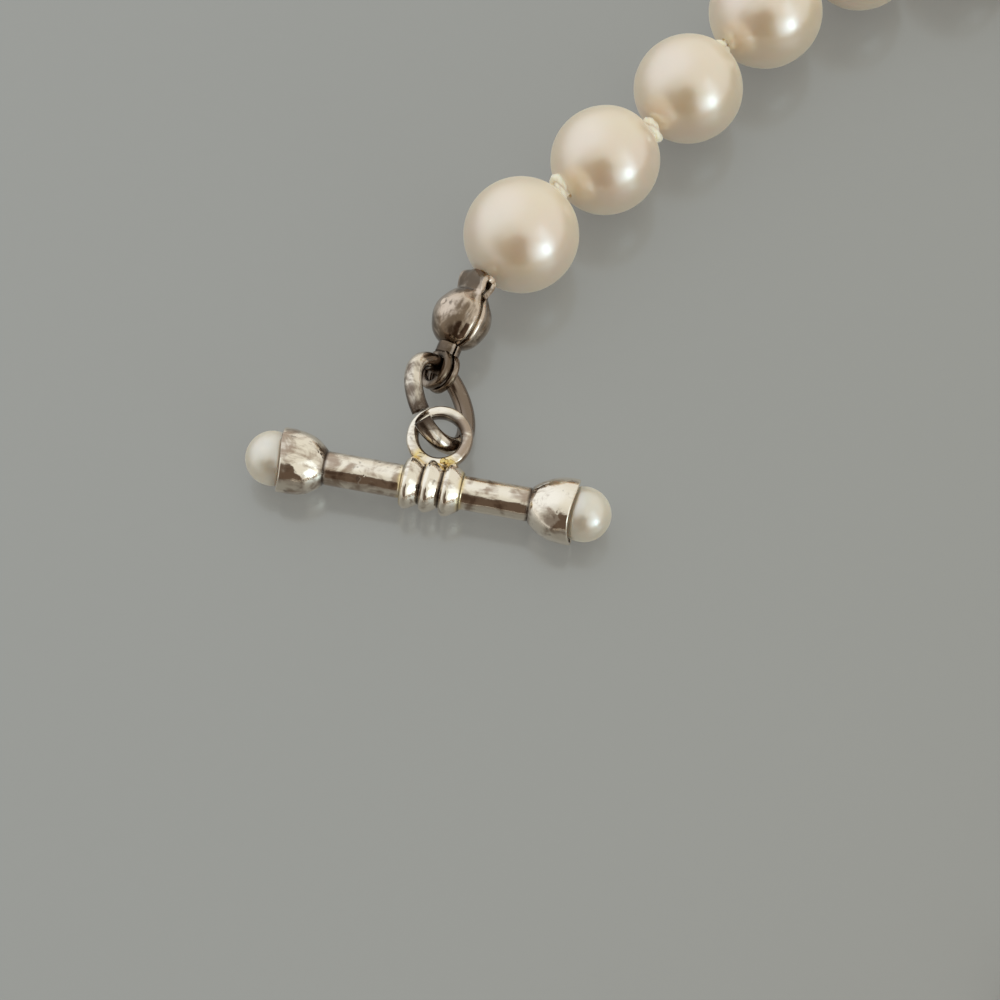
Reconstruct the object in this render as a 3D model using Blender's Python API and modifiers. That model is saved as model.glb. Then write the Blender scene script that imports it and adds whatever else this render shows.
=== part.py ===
"""Pearl bracelet with a toggle clasp, unfastened and laid on a flat surface.

Drilled pearls sit on one knotted silk thread. Each end of the thread is knotted inside a folding
bead tip, whose double loop hangs on an oval jump ring. One jump ring holds the toggle bar, with a
small pearl set in the cup at each of its ends. The other holds the toggle ring.

Lengths are millimetres here, and MM turns them into metres. +Z is up and the surface is z = 0.
While it is built, the bracelet has the middle of its bar near x = -4, y = 0. At the end it is
moved so that the middle of its bounding box stands over the world origin.
"""

import bpy
import numpy as np
from math import asin, cos, pi, radians, sin
from mathutils import Matrix, Vector

MM = 0.001
NAME = "pearl_bracelet"

# Pearls of the strand
PEARL_COUNT = 20
PEARL_DIAMETERS = (7.14, 6.82, 6.89, 7.23, 7.18, 7.0, 6.9)   # repeated along the strand
PEARL_HOLE = 1.0
PEARL_SIDES = 16
PEARL_BANDS = 9

# Silk thread and its knots
THREAD_DIAMETER = 0.36
KNOT_GAP = 0.6            # from one pearl's hole to the next
KNOT_DIAMETER = 1.15
KNOT_PLAY = 0.08          # from a knot to the pearl on each side
END_KNOT_DIAMETER = 1.7
END_KNOT_LENGTH = 1.4

# The strand's route on the surface: a few points in x and y that the pearls' centres follow
ROUTE = (
    (1.3, 16.2), (6.5, 21.6), (11.8, 26.8), (17.0, 32.6), (23.4, 37.1), (30.5, 39.6), (38.2, 38.0),
    (44.0, 32.6), (46.9, 24.5), (47.4, 15.0), (46.2, 4.5), (43.8, -6.0), (40.2, -16.5),
    (35.0, -26.0), (28.0, -34.0), (19.5, -40.0), (9.5, -43.8), (-1.5, -45.6), (-12.0, -46.0),
)

# Bead tips: two half balls that fold together over the end knot
TIP_BALL = 3.6
TIP_WALL = 0.3
TIP_SEAM = 0.12
TIP_HINGE_WIDTH = 2.8
TIP_HINGE_THICK = 1.0
TIP_HINGE_SLOT = 0.4
TIP_HINGE_REACH = 1.0     # from the ball to the end of the fold
TIP_THREAD_HOLE = 1.05
TIP_PEARL_GAP = 0.15      # from the fold to the first pearl
TIP_LOOP_STRIP = 0.5      # thickness of the strip that is bent into the two loops
TIP_LOOP_WIDTH = 1.04     # over both loops, side by side
TIP_NECK = 0.4            # from the ball to the loops
TIP_NECK_TOP = 1.8
TIP_NECK_END = 0.95
TIP_LOOP_ROOM = 0.56      # free play of the jump ring's wire in the loops

# How the bar's bead tip lies: directions as x, y, z
TIP_FROM_PEARL = (-0.555, -0.822, -0.126)
TIP_AXIS = (0.375, 0.90, 0.215)
TIP_SEAM_UP = (0.586, -0.349, 0.732)
LOOP_REST_HEIGHT = 1.85   # height of the other bead tip's loops, which lie level with their ring

# Oval jump rings, cut through once
JUMP_WIRE = 1.1
JUMP_HALF_LONG = 2.75
JUMP_HALF_SHORT = 2.04
JUMP_CUT = 0.3
JUMP_CUT_ANGLE = 190.0    # degrees round the ring from the end of its short axis
JUMP_PITCH = 0.2          # the cut ends miss each other by this much
JUMP_POINTS = 30

# How the bar's jump ring lies between its two neighbours
JUMP_LONG_AXIS = (-0.369, 0.880, 0.299)
JUMP_SHORT_AXIS = (0.608, 0.472, -0.638)
JUMP_LIFT = 0.17          # above the middle between the eye and the loops
JUMP_BITE = 0.82          # how much closer the two holes are than the ring's own length
JUMP_HEADING = 90.7       # degrees from +X, from the eye to the loops

# How far the level jump ring's ends reach past the middle of each hole
JUMP_PAST_LOOP = 0.12
JUMP_PAST_EYE = 0.40

# Toggle bar: a rod with a belled cup at each end and three rings round its middle
BAR_HEADING = -11.17
BAR_ROD = 2.05
BAR_CUP_DIAMETER = 4.05
BAR_CUP_LENGTH = 2.6
BAR_CUP_WALL = 0.2
BAR_RIM_TO_RIM = 17.7
BAR_SIDES = 20
BAND_RING_WIDTH = 1.2
BAND_RING_DIAMETER = 3.2
BAND_GROOVE_DIAMETER = 2.5
BAND_RINGS = 3
BAND_SHIFT = 0.27         # the rings sit this far from the middle of the bar

# Pearls set in the bar's cups
END_PEARL_DIAMETER = 3.3
END_PEARL_OUT = 0.55      # the pearl's centre beyond the cup's rim
END_PEARL_SEAT = 0.07     # cement between the pearl and the cup

# Eyes: the one on the bar and its twin on the toggle ring
EYE_ROOM = 1.4            # free play of the jump ring's wire in the eye
EYE_WIRE = 0.76
EYE_THICK = 0.86
EYE_SINK = 0.53           # soldered this deep into the rings of the bar
EYE_SHIFT = -0.15         # from the middle of those rings, along the bar
EYE_TILT = 5.7            # degrees up from level

# Toggle ring
RING_OUTER = 15.0
RING_WIRE = 1.8
RING_SIDES = 40
RING_WIRE_SIDES = 12
RING_EYE_SINK = 0.7

# Cup outline from the rod to the rim: share of the length, share of the rise in radius
CUP_OUTLINE = (
    (0.00, 0.00), (0.08, 0.10), (0.18, 0.32), (0.32, 0.58), (0.52, 0.80), (0.76, 0.94), (1.00, 1.00),
)
# Cup hollow from its floor to the rim: share of the hollow's depth, share of its radius
CUP_HOLLOW = ((0.00, 0.45), (0.18, 0.80), (0.55, 0.97), (1.00, 1.00))
# One raised ring of the band: share of its width, share of the rise out of the groove
RING_BUMP = ((0.00, 0.0), (0.14, 0.62), (0.36, 0.96), (0.64, 0.96), (0.86, 0.62), (1.00, 0.0))

# Sizes that follow from the ones above
TIP_LOOP_HOLE = JUMP_WIRE + TIP_LOOP_ROOM
TIP_LOOP_OUTER = TIP_LOOP_HOLE + 2 * TIP_LOOP_STRIP
TIP_LOOP_REACH = TIP_BALL / 2 + TIP_NECK + TIP_LOOP_OUTER / 2
TIP_HINGE_END = TIP_BALL / 2 + TIP_HINGE_REACH
EYE_HOLE = JUMP_WIRE + EYE_ROOM
EYE_OUTER = EYE_HOLE + 2 * EYE_WIRE
BAR_HEIGHT = BAR_CUP_DIAMETER / 2
BAR_EYE_OFFSET = BAND_RING_DIAMETER / 2 - EYE_SINK + EYE_OUTER / 2
RING_EYE_OFFSET = RING_OUTER / 2 - RING_EYE_SINK + EYE_OUTER / 2
KNOT_LENGTH = KNOT_GAP - 2 * KNOT_PLAY


def unit(vector):
    """The same direction at length one."""
    vector = np.asarray(vector, float)
    return vector / np.linalg.norm(vector)


def pose(place, along, side):
    """Matrix with local Z along one direction, local X as near the other as it can be."""
    z_axis = unit(along)
    x_axis = unit(np.asarray(side, float) - np.dot(side, z_axis) * z_axis)
    y_axis = np.cross(z_axis, x_axis)
    matrix = Matrix.Identity(4)
    for column, axis in enumerate((x_axis, y_axis, z_axis)):
        for row in range(3):
            matrix[row][column] = axis[row]
    matrix.translation = Vector(place) * MM
    return matrix


def shift(x=0.0, y=0.0, z=0.0):
    """Translation in millimetres."""
    return Matrix.Translation(Vector((x, y, z)) * MM)


def make_material(name, colour, roughness, metallic):
    """Plain Principled material."""
    material = bpy.data.materials.new(name)
    material.use_nodes = True
    shader = material.node_tree.nodes["Principled BSDF"]
    shader.inputs["Base Color"].default_value = (*colour, 1.0)
    shader.inputs["Roughness"].default_value = roughness
    shader.inputs["Metallic"].default_value = metallic
    return material


def keep(obj, material):
    """Turn a finished object into a piece of the bracelet."""
    for collection in list(obj.users_collection):
        collection.objects.unlink(obj)
    parts.objects.link(obj)
    obj.parent = root
    if obj.type == "MESH":
        obj.data.shade_smooth()
        obj.data.set_sharp_from_angle(angle=radians(40))
    obj.data.materials.clear()
    obj.data.materials.append(material)
    return obj


def make_tool(obj):
    """Turn an object into a hidden tool for a Boolean."""
    for collection in list(obj.users_collection):
        collection.objects.unlink(obj)
    cutters.objects.link(obj)
    obj.parent = root
    obj.hide_render = True
    obj.display_type = "WIRE"
    return obj


def combine(body, tool, operation):
    """Join a tool to the body, or cut it out."""
    modifier = body.modifiers.new(tool.name, "BOOLEAN")
    modifier.operation = operation
    modifier.solver = "EXACT"
    modifier.object = make_tool(tool)


def turned(name, profile, sides, matrix, closed=False):
    """Solid turned round its local Z from (radius, height) points that run down the outer side."""
    mesh = bpy.data.meshes.new(name)
    count = len(profile)
    edges = [(i, i + 1) for i in range(count - 1)]
    if closed:
        edges.append((count - 1, 0))
    mesh.from_pydata([(r * MM, 0.0, z * MM) for r, z in profile], edges, [])
    obj = bpy.data.objects.new(name, mesh)
    bpy.context.scene.collection.objects.link(obj)
    obj.matrix_world = matrix
    screw = obj.modifiers.new("turn", "SCREW")
    screw.axis = "Z"
    screw.steps = sides
    screw.render_steps = sides
    screw.use_merge_vertices = True
    screw.merge_threshold = 0.000001
    screw.use_smooth_shade = True
    return obj


def block(name, size, matrix):
    """Box with its middle at the matrix."""
    bpy.ops.mesh.primitive_cube_add(size=1.0)
    obj = bpy.context.object
    obj.name = name
    obj.data.transform(Matrix.Diagonal((size[0] * MM, size[1] * MM, size[2] * MM, 1.0)))
    obj.matrix_world = matrix
    return obj


def cone(name, bottom, top, height, sides, matrix):
    """Cone or cylinder round the matrix's Z, given its two diameters."""
    bpy.ops.mesh.primitive_cone_add(
        vertices=sides, radius1=bottom / 2 * MM, radius2=top / 2 * MM, depth=height * MM)
    obj = bpy.context.object
    obj.name = name
    obj.matrix_world = matrix
    return obj


def ball(name, diameter, segments, rings, matrix):
    """Sphere with its poles on the matrix's Z."""
    bpy.ops.mesh.primitive_uv_sphere_add(
        segments=segments, ring_count=rings, radius=diameter / 2 * MM)
    obj = bpy.context.object
    obj.name = name
    obj.matrix_world = matrix
    return obj


def tube(name, points, radii, resolution=2):
    """Wire along the points, each with its own radius, with closed ends."""
    curve = bpy.data.curves.new(name, "CURVE")
    curve.dimensions = "3D"
    curve.bevel_depth = MM
    curve.bevel_resolution = resolution
    curve.use_fill_caps = True
    spline = curve.splines.new("POLY")
    spline.points.add(len(points) - 1)
    for node, point, radius in zip(spline.points, points, radii):
        node.co = (*(np.asarray(point) * MM), 1.0)
        node.radius = radius
    obj = bpy.data.objects.new(name, curve)
    bpy.context.scene.collection.objects.link(obj)
    return obj


def smooth_route(route, steps=60):
    """Points of a Catmull-Rom curve through the route, run straight on past its last point."""
    chosen = np.array(route)
    before = 2 * chosen[0] - chosen[1]
    after = 2 * chosen[-1] - chosen[-2]
    chosen = np.vstack((before, chosen, after))
    t = np.linspace(0.0, 1.0, steps, endpoint=False)[:, None]
    stretches = []
    for p0, p1, p2, p3 in zip(chosen[:-3], chosen[1:-2], chosen[2:-1], chosen[3:]):
        stretches.append(0.5 * (2 * p1 + (p2 - p0) * t + (2 * p0 - 5 * p1 + 4 * p2 - p3) * t ** 2
                                + (3 * p1 - p0 - 3 * p2 + p3) * t ** 3))
    last = chosen[-2]
    heading = unit(last - stretches[-1][-1])
    run_on = last + heading * np.arange(0.0, 200.0, 0.1)[:, None]
    return np.vstack(stretches + [run_on])


def pearl_places():
    """Centre and radius of each pearl: marched along the route, one knot's gap between holes."""
    radii = [PEARL_DIAMETERS[i % len(PEARL_DIAMETERS)] / 2 for i in range(PEARL_COUNT)]
    line = smooth_route(ROUTE)
    places = [np.array((*line[0], radii[0]))]
    start = 0
    for before, radius in zip(radii[:-1], radii[1:]):
        reach = before + KNOT_GAP + radius
        flat_reach = (reach ** 2 - (radius - before) ** 2) ** 0.5
        distance = np.linalg.norm(line[start:] - places[-1][:2], axis=1)
        step = int(np.argmax(distance >= flat_reach))
        share = (flat_reach - distance[step - 1]) / (distance[step] - distance[step - 1])
        spot = line[start + step - 1] * (1 - share) + line[start + step] * share
        places.append(np.array((*spot, radius)))
        start += step - 1
    return places, radii


def hole_directions(places, tip_before, tip_after):
    """Level direction of each pearl's drilled hole, halfway between those to its two neighbours."""
    chain = [tip_before] + places + [tip_after]
    directions = []
    for back, here, ahead in zip(chain[:-2], chain[1:-1], chain[2:]):
        between = unit(here - back) + unit(ahead - here)
        directions.append(unit((between[0], between[1], 0.0)))
    return directions


def pearl_profile(radius):
    """Closed outline of a drilled ball whose flats lie at its radius, and its half length."""
    hole = PEARL_HOLE / 2
    half_band = (pi / 2 - asin(hole / radius)) / PEARL_BANDS
    corner = radius / cos(half_band)
    start = asin(hole / corner)
    angles = [start + (pi - 2 * start) * i / PEARL_BANDS for i in range(PEARL_BANDS + 1)]
    return [(corner * sin(a), corner * cos(a)) for a in angles], corner * cos(start)


def make_pearl(name, place, radius, direction):
    """Drilled pearl that rests on one of its flats."""
    profile, _ = pearl_profile(radius)
    across_flats = cos(pi / PEARL_SIDES)
    profile = [(profile[0][0], profile[0][1])] + [
        (r / across_flats, z) for r, z in profile[1:-1]] + [(profile[-1][0], profile[-1][1])]
    half_side = Matrix.Rotation(pi / PEARL_SIDES, 4, "Z")
    matrix = pose(place, direction, (0, 0, -1)) @ half_side
    return keep(turned(name, profile, PEARL_SIDES, matrix, closed=True), pearl_material)


def make_thread(places, radii, directions, tip_start, tip_end):
    """Silk thread: an end knot in each bead tip, and a knot between each two pearls."""
    thread = THREAD_DIAMETER / 2
    knot = ((-0.5, 0.0), (-0.38, 0.75), (0.0, 1.0), (0.38, 0.75), (0.5, 0.0))
    points = []
    sizes = []

    def add_knot(middle, heading, length, diameter, rows):
        for along, rise in rows:
            points.append(middle + heading * length * along)
            sizes.append(thread + (diameter / 2 - thread) * rise)

    first_centre, first_axis = tip_start
    last_centre, last_axis = tip_end
    add_knot(first_centre, first_axis, END_KNOT_LENGTH, END_KNOT_DIAMETER, knot)
    points.append(first_centre + first_axis * TIP_HINGE_END)
    sizes.append(thread)
    for i, (place, radius, heading) in enumerate(zip(places, radii, directions)):
        _, half = pearl_profile(radius)
        points += [place - heading * half, place + heading * half]
        sizes += [thread, thread]
        if i + 1 < len(places):
            _, next_half = pearl_profile(radii[i + 1])
            leave = points[-1]
            enter = places[i + 1] - directions[i + 1] * next_half
            add_knot((leave + enter) / 2, unit(enter - leave), KNOT_LENGTH, KNOT_DIAMETER, knot)
    points.append(last_centre + last_axis * TIP_HINGE_END)
    sizes.append(thread)
    add_knot(last_centre, -last_axis, END_KNOT_LENGTH, END_KNOT_DIAMETER, knot)
    return keep(tube("silk_thread", points, sizes, resolution=1), silk_material)


def make_bead_tip(name, centre, axis, seam_up):
    """Bead tip: local Z points to its pearl, and the seam lies in the local Y and Z plane."""
    matrix = pose(centre, axis, np.cross(seam_up, axis))
    wide = TIP_BALL * 2
    body = ball(name, TIP_BALL, 16, 10, matrix)

    fold_height = TIP_HINGE_REACH + TIP_BALL / 4
    fold = block(name + "_fold", (TIP_HINGE_THICK, TIP_HINGE_WIDTH, fold_height),
                 matrix @ shift(z=TIP_HINGE_END - fold_height / 2))
    round_fold = fold.modifiers.new("round", "BEVEL")
    round_fold.width = TIP_WALL * 0.8 * MM
    round_fold.segments = 2
    combine(body, fold, "UNION")

    neck_height = TIP_NECK + TIP_BALL / 6 + TIP_LOOP_STRIP / 2
    neck_middle = -TIP_BALL / 2 + TIP_BALL / 6 - neck_height / 2
    neck = cone(name + "_neck", TIP_NECK_END, TIP_NECK_TOP, neck_height, 12,
                matrix @ shift(z=neck_middle))
    combine(body, neck, "UNION")

    inner = TIP_LOOP_HOLE / 2
    outer = TIP_LOOP_OUTER / 2
    half = TIP_LOOP_WIDTH / 2
    soft = TIP_LOOP_STRIP * 0.25
    strip = ((outer - soft, half), (outer, half - soft), (outer, soft - half), (outer - soft, -half),
             (inner + soft, -half), (inner, soft - half), (inner, half - soft), (inner + soft, half))
    across = Matrix.Rotation(pi / 2, 4, "Y")
    loops = turned(name + "_loops", strip, 16, matrix @ shift(z=-TIP_LOOP_REACH) @ across, closed=True)
    combine(body, loops, "UNION")

    combine(body, ball(name + "_hollow", TIP_BALL - 2 * TIP_WALL, 16, 10, matrix), "DIFFERENCE")
    slot_top = TIP_HINGE_END - TIP_WALL
    slot_bottom = TIP_BALL / 2 - TIP_WALL * 1.5
    slot = block(name + "_slot", (TIP_HINGE_SLOT, wide, slot_top - slot_bottom),
                 matrix @ shift(z=(slot_top + slot_bottom) / 2))
    combine(body, slot, "DIFFERENCE")
    seam_top = (slot_top + slot_bottom) / 2
    seam_bottom = -TIP_LOOP_REACH - TIP_LOOP_OUTER
    seam = block(name + "_seam", (TIP_SEAM, wide, seam_top - seam_bottom),
                 matrix @ shift(z=(seam_top + seam_bottom) / 2))
    combine(body, seam, "DIFFERENCE")
    thread_hole = cone(name + "_thread_hole", TIP_THREAD_HOLE, TIP_THREAD_HOLE, TIP_BALL, 12,
                       matrix @ shift(z=TIP_HINGE_END - TIP_WALL + TIP_BALL / 2 - TIP_WALL))
    combine(body, thread_hole, "DIFFERENCE")
    return keep(body, tarnished_material)


def make_jump_ring(name, centre, long_axis, short_axis, cut_angle):
    """Oval ring of round wire, cut once, its two ends a little out of line."""
    long_axis = unit(long_axis)
    short_axis = unit(np.asarray(short_axis) - np.dot(short_axis, long_axis) * long_axis)
    across = np.cross(short_axis, long_axis)
    cut = radians(cut_angle)
    speed = ((JUMP_HALF_SHORT * sin(cut)) ** 2 + (JUMP_HALF_LONG * cos(cut)) ** 2) ** 0.5
    half_gap = JUMP_CUT / 2 / speed
    share = np.linspace(0.0, 1.0, JUMP_POINTS)
    turn = cut + half_gap + share * (2 * pi - 2 * half_gap)
    points = (centre
              + np.outer(JUMP_HALF_SHORT * np.cos(turn), short_axis)
              + np.outer(JUMP_HALF_LONG * np.sin(turn), long_axis)
              + np.outer(JUMP_PITCH * (share - 0.5), across))
    return keep(tube(name, points, [JUMP_WIRE / 2] * JUMP_POINTS), silver_material)


def make_eye(name, matrix):
    """Ring whose hole lies along the matrix's Z, ready to be soldered on."""
    inner = EYE_HOLE / 2
    outer = EYE_OUTER / 2
    half = EYE_THICK / 2
    soft = EYE_WIRE * 0.28
    section = ((outer - soft, half), (outer, half - soft), (outer, soft - half), (outer - soft, -half),
               (inner + soft, -half), (inner, soft - half), (inner, half - soft), (inner + soft, half))
    return turned(name, section, 24, matrix, closed=True)


def bar_profile():
    """Half outline of the bar from the floor of one cup to the floor of the other."""
    rod = BAR_ROD / 2
    rim = BAR_CUP_DIAMETER / 2
    rim_at = BAR_RIM_TO_RIM / 2
    neck_at = rim_at - BAR_CUP_LENGTH
    floor_at = rim_at + END_PEARL_OUT - END_PEARL_DIAMETER / 2 - END_PEARL_SEAT
    hollow = rim - BAR_CUP_WALL
    inside = [(0.0, floor_at)] + [(hollow * wide, floor_at + (rim_at - floor_at) * up)
                                  for up, wide in CUP_HOLLOW]
    outside = [(rod + (rim - rod) * rise, neck_at + BAR_CUP_LENGTH * along)
               for along, rise in reversed(CUP_OUTLINE)]
    groove = BAND_GROOVE_DIAMETER / 2
    crest = BAND_RING_DIAMETER / 2
    band_top = BAND_SHIFT + BAND_RINGS * BAND_RING_WIDTH / 2
    band = [(rod, band_top)]
    for ring in range(BAND_RINGS):
        top = band_top - ring * BAND_RING_WIDTH
        rows = RING_BUMP if ring == 0 else RING_BUMP[1:]
        band += [(groove + (crest - groove) * rise, top - BAND_RING_WIDTH * down) for down, rise in rows]
    band.append((rod, band_top - BAND_RINGS * BAND_RING_WIDTH))
    far_outside = [(r, -z) for r, z in reversed(outside)]
    far_inside = [(r, -z) for r, z in reversed(inside)]
    return inside + outside + band + far_outside + far_inside


def make_toggle_bar(centre, along, eye_out):
    """Rod, cups, band and eye, soldered into one piece."""
    matrix = pose(centre, along, (0, 0, -1)) @ Matrix.Rotation(pi / BAR_SIDES, 4, "Z")
    body = turned("toggle_bar", bar_profile(), BAR_SIDES, matrix)
    eye_place = centre + along * (BAND_SHIFT + EYE_SHIFT) + eye_out * BAR_EYE_OFFSET
    eye = make_eye("toggle_bar_eye", pose(eye_place, np.cross(along, eye_out), along))
    combine(body, eye, "UNION")
    return keep(body, silver_material)


def make_end_pearl(name, centre, along):
    """Small pearl seated in a cup, with its poles on the bar's line."""
    return keep(ball(name, END_PEARL_DIAMETER, 16, 10, pose(centre, along, (0, 0, 1))), pearl_material)


def make_toggle_ring(centre, to_strand):
    """Plain ring lying flat, with an upright eye soldered to its rim."""
    wire = RING_WIRE / 2
    middle = RING_OUTER / 2 - wire
    corner = wire / cos(pi / RING_WIRE_SIDES)
    angles = [pi / 2 - (i + 0.5) * 2 * pi / RING_WIRE_SIDES for i in range(RING_WIRE_SIDES)]
    section = [(middle + corner * cos(a), corner * sin(a)) for a in angles]
    ring_centre = np.array((centre[0], centre[1], wire))
    body = turned("toggle_ring", section, RING_SIDES, pose(ring_centre, (0, 0, 1), to_strand), closed=True)
    eye_place = ring_centre + to_strand * RING_EYE_OFFSET
    eye_place[2] = EYE_OUTER / 2
    side = np.cross((0, 0, 1), to_strand)
    combine(body, make_eye("toggle_ring_eye", pose(eye_place, side, to_strand)), "UNION")
    return keep(body, silver_material)


def stand_on_origin():
    """Move the whole bracelet so that the middle of its bounding box is over the origin."""
    bpy.context.view_layer.update()
    graph = bpy.context.evaluated_depsgraph_get()
    corners = []
    for obj in parts.objects:
        evaluated = obj.evaluated_get(graph)
        mesh = evaluated.to_mesh()
        local = np.empty(len(mesh.vertices) * 3)
        mesh.vertices.foreach_get("co", local)
        world = local.reshape(-1, 3) @ np.array(obj.matrix_world.to_3x3()).T
        world += np.array(obj.matrix_world.translation)
        corners += [world.min(axis=0), world.max(axis=0)]
        evaluated.to_mesh_clear()
    low = np.min(corners, axis=0)
    high = np.max(corners, axis=0)
    root.location = (-(low[0] + high[0]) / 2, -(low[1] + high[1]) / 2, -low[2])


for old in list(bpy.data.objects):
    bpy.data.objects.remove(old, do_unlink=True)

parts = bpy.data.collections.new(NAME)
cutters = bpy.data.collections.new("cutters")
bpy.context.scene.collection.children.link(parts)
bpy.context.scene.collection.children.link(cutters)
root = bpy.data.objects.new("bracelet_frame", None)
bpy.context.scene.collection.objects.link(root)

pearl_material = make_material("pearl", (0.80, 0.72, 0.58), 0.22, 0.0)
silver_material = make_material("silver", (0.72, 0.66, 0.62), 0.25, 1.0)
tarnished_material = make_material("tarnished_silver", (0.40, 0.35, 0.31), 0.28, 1.0)
silk_material = make_material("silk", (0.82, 0.76, 0.62), 0.55, 0.0)

# The strand of pearls, and the two bead tips at its ends
places, radii = pearl_places()
tip_axis = unit(TIP_AXIS)
first_reach = radii[0] + TIP_PEARL_GAP + TIP_HINGE_END
bar_tip = places[0] + unit(TIP_FROM_PEARL) * first_reach

run_out = unit(places[-1] - places[-2])
last_reach = radii[-1] + TIP_PEARL_GAP + TIP_HINGE_END + TIP_LOOP_REACH
drop = radii[-1] - LOOP_REST_HEIGHT
flat_run = (last_reach ** 2 - drop ** 2) ** 0.5
level_out = unit((run_out[0], run_out[1], 0.0))
ring_loops = places[-1] + level_out * flat_run - np.array((0.0, 0.0, drop))
ring_tip_axis = unit(places[-1] - ring_loops)
ring_tip = ring_loops + ring_tip_axis * TIP_LOOP_REACH

directions = hole_directions(places, bar_tip, ring_tip)
for index, (place, radius, direction) in enumerate(zip(places, radii, directions)):
    make_pearl(f"pearl_{index + 1:02d}", place, radius, direction)
make_thread(places, radii, directions, (bar_tip, tip_axis), (ring_tip, ring_tip_axis))
make_bead_tip("bead_tip_bar", bar_tip, TIP_AXIS, TIP_SEAM_UP)
make_bead_tip("bead_tip_ring", ring_tip, ring_tip_axis, (0, 0, 1))

# The bar's end of the clasp
bar_loops = bar_tip - tip_axis * TIP_LOOP_REACH
bar_along = np.array((cos(radians(BAR_HEADING)), sin(radians(BAR_HEADING)), 0.0))
bar_away = np.cross((0, 0, 1), bar_along)
eye_out = bar_away * cos(radians(EYE_TILT)) + np.array((0, 0, 1)) * sin(radians(EYE_TILT))
link_span = 2 * JUMP_HALF_LONG - JUMP_BITE
link_heading = np.array((cos(radians(JUMP_HEADING)), sin(radians(JUMP_HEADING)), 0.0))
bar_eye = bar_loops - link_heading * link_span
bar_eye[2] = BAR_HEIGHT + eye_out[2] * BAR_EYE_OFFSET
bar_centre = bar_eye - eye_out * BAR_EYE_OFFSET - bar_along * (BAND_SHIFT + EYE_SHIFT)
link_centre = (bar_eye + bar_loops) / 2 + np.array((0.0, 0.0, JUMP_LIFT))
make_jump_ring("jump_ring_bar", link_centre, JUMP_LONG_AXIS, JUMP_SHORT_AXIS, JUMP_CUT_ANGLE)
make_toggle_bar(bar_centre, bar_along, eye_out)
end_pearl_at = BAR_RIM_TO_RIM / 2 + END_PEARL_OUT
make_end_pearl("end_pearl_left", bar_centre - bar_along * end_pearl_at, bar_along)
make_end_pearl("end_pearl_right", bar_centre + bar_along * end_pearl_at, bar_along)

# The toggle ring's end of the clasp
ring_link = ring_loops + level_out * (JUMP_HALF_LONG - JUMP_PAST_LOOP)
ring_eye = ring_link + level_out * (JUMP_HALF_LONG - JUMP_PAST_EYE)
level_side = np.cross((0, 0, 1), level_out)
make_jump_ring("jump_ring_ring", ring_link, level_out, level_side, 0.0)
make_toggle_ring(ring_eye + level_out * RING_EYE_OFFSET, -level_out)

stand_on_origin()
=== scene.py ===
"""Pearl bracelet with a toggle clasp, lying open: the finished surfaces and finishes of its pieces."""

import bmesh
import bpy
import numpy as np
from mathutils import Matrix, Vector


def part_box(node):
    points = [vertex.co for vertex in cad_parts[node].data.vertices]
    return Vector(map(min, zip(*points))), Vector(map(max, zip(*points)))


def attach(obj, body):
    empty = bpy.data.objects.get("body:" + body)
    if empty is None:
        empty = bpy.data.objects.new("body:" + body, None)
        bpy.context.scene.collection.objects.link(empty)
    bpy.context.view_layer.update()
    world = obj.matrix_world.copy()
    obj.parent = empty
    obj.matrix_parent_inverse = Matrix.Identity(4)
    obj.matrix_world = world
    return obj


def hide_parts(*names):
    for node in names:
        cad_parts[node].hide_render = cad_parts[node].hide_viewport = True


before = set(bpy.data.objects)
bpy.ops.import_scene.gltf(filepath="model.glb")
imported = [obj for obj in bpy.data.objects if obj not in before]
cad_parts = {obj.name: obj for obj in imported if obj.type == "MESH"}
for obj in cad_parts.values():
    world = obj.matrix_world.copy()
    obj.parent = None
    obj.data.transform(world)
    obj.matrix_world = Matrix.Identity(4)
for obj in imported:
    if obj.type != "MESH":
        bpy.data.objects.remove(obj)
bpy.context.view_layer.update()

# Camera: looks down at 66 degrees on the bar's end of the strand, from 150 mm, with the bar a little left
# of the middle. The rest of the strand runs out of the picture at the top right.
MM = 0.001
CAMERA_HEIGHT = np.radians(66.0)
CAMERA_DISTANCE = 150.0
AIM_FROM_BAR = (4.30, 0.006, 0.0)
end_pearl_boxes = np.array([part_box("end_pearl_left"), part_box("end_pearl_right")])
aim = end_pearl_boxes.mean(axis=(0, 1)) + np.array(AIM_FROM_BAR) * MM
aim[2] = 0.0
camera = bpy.data.objects.new("camera", bpy.data.cameras.new("camera"))
bpy.context.scene.collection.objects.link(camera)
camera.location = aim + np.array((0.0, -np.cos(CAMERA_HEIGHT), np.sin(CAMERA_HEIGHT))) * CAMERA_DISTANCE * MM
camera.rotation_euler = (np.pi / 2 - CAMERA_HEIGHT, 0.0, 0.0)
camera.data.sensor_width = 36
camera.data.lens = 90
camera.data.clip_start = 0.001
bpy.context.scene.camera = camera
bpy.context.scene.view_settings.view_transform = "Standard"

# Light: a white room with a broad pale glow behind on the left, a tall cool window in front on the right,
# and a dark brown stretch of room in front, which shows as the brown patch on every pearl and as the dark
# line along the bar.
CEILING = (0.83, 0.84, 0.78, 1.0)
ROOM_EDGE = (0.82, 0.82, 0.78, 1.0)
BACK_GLOW = (0.99, 1.05, 1.09, 1.0)
DARK_ROOM = (0.115, 0.082, 0.060, 1.0)
WINDOW = (2.6, 3.25, 3.45, 1.0)
WINDOW_HAZE = (1.35, 1.58, 1.68, 1.0)
WINDOW_SKY = (1.15, 1.26, 1.30, 1.0)
GLOW_WAY = (-0.66, 0.46, 0.58)
HAZE_WAY = (0.69, -0.68, 0.24)
SKY_ENDS = ((0.79, -0.50, 0.28), (0.58, -0.28, 0.77))
PANE_ENDS = ((0.757, -0.652, 0.0), (0.695, -0.605, 0.388))
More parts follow.
